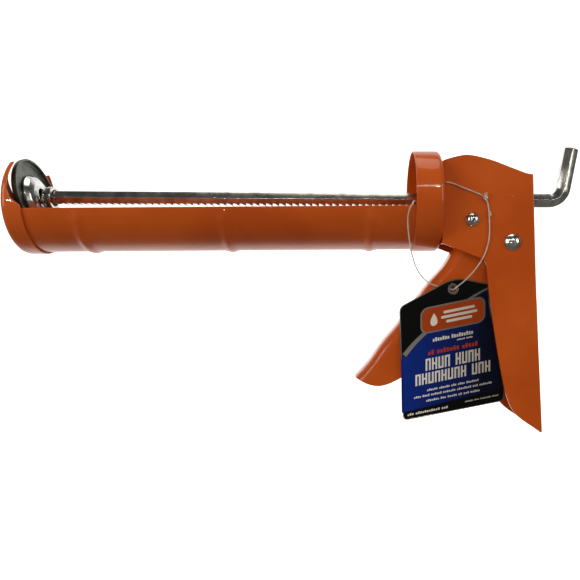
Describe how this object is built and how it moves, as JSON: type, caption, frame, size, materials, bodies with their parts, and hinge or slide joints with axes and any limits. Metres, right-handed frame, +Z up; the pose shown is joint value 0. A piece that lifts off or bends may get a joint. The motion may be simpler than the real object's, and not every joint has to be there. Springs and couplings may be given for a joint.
{
  "type": "caulking gun",
  "caption": "Half-barrel caulking gun with a stamped channel handle, sprung trigger, toothed hexagonal push rod with a turned-up end, rocking piston disc and a hang tag on a string.",
  "frame": {"origin": "the grip point, where the palm meets the handle's rear web", "axes": "+X along the barrel towards the rod's hook, +Z up, the tag hangs on the -Y side"},
  "size_m": [0.3098, 0.0554, 0.1562],
  "materials": {
    "orange_enamel": "gloss enamel on pressed steel",
    "zinc_plate": "bright zinc plate",
    "spring_steel": "oiled spring steel",
    "printed_card": "gloss laminated print",
    "clear_nylon": "clear monofilament"
  },
  "bodies": {
    "frame": {"cradle_trough": "orange_enamel", "front_cap": "orange_enamel", "rear_collar": "orange_enamel", "handle_frame": "orange_enamel", "trigger_rivet": "zinc_plate", "front_rivet": "zinc_plate", "front_spacer": "zinc_plate", "holding_leaf": "spring_steel", "return_spring": "spring_steel", "hang_tag": "printed_card", "tag_eyelet": "zinc_plate", "tag_string": "clear_nylon", "string_knot": "clear_nylon", "string_knot_lower": "clear_nylon"},
    "trigger": {"trigger": "orange_enamel", "pawl_pin": "zinc_plate", "pawl_spring": "spring_steel"},
    "pawl": {"drive_pawl": "spring_steel"},
    "piston_hub": {"piston_washer": "zinc_plate"},
    "piston_disc": {"thrust_disc": "zinc_plate", "disc_cup": "zinc_plate"},
    "rod": {"ratchet_rod": "zinc_plate", "rod_collar": "zinc_plate", "rod_end_nut": "zinc_plate"}
  },
  "joints": [
    {"name": "trigger_squeeze", "type": "hinge", "parent": "frame", "child": "trigger", "pos_m": [-0.0133, 0, 0.0382], "axis": [0, -1, 0], "range_deg": [0, 30], "stiffness_Nm_per_rad": 0.5, "springref_deg": -20.05, "deforming": ["return_spring"]},
    {"name": "pawl_swing", "type": "hinge", "parent": "trigger", "child": "pawl", "pos_m": [-0.0103, 0, 0.0493], "axis": [0, -1, 0], "range_deg": [-30, 0], "deforming": ["pawl_spring"]},
    {"name": "rod_slide", "type": "slide", "parent": "frame", "child": "piston_hub", "axis": [1, 0, -0.0061], "range_m": [0, 0.2]},
    {"name": "rod_turn", "type": "hinge", "parent": "piston_hub", "child": "rod", "pos_m": [-0.27789, 0, 0.06409], "axis": [1, 0, -0.0061], "range_deg": [0, 180]},
    {"name": "disc_rock", "type": "hinge", "parent": "piston_hub", "child": "piston_disc", "pos_m": [-0.27789, 0, 0.06409], "axis": [0, 1, 0], "range_deg": [0, 15]}
  ],
  "couplings": [
    {"joint": "pawl_swing", "follows": "trigger_squeeze", "ratio": -1}
  ]
}
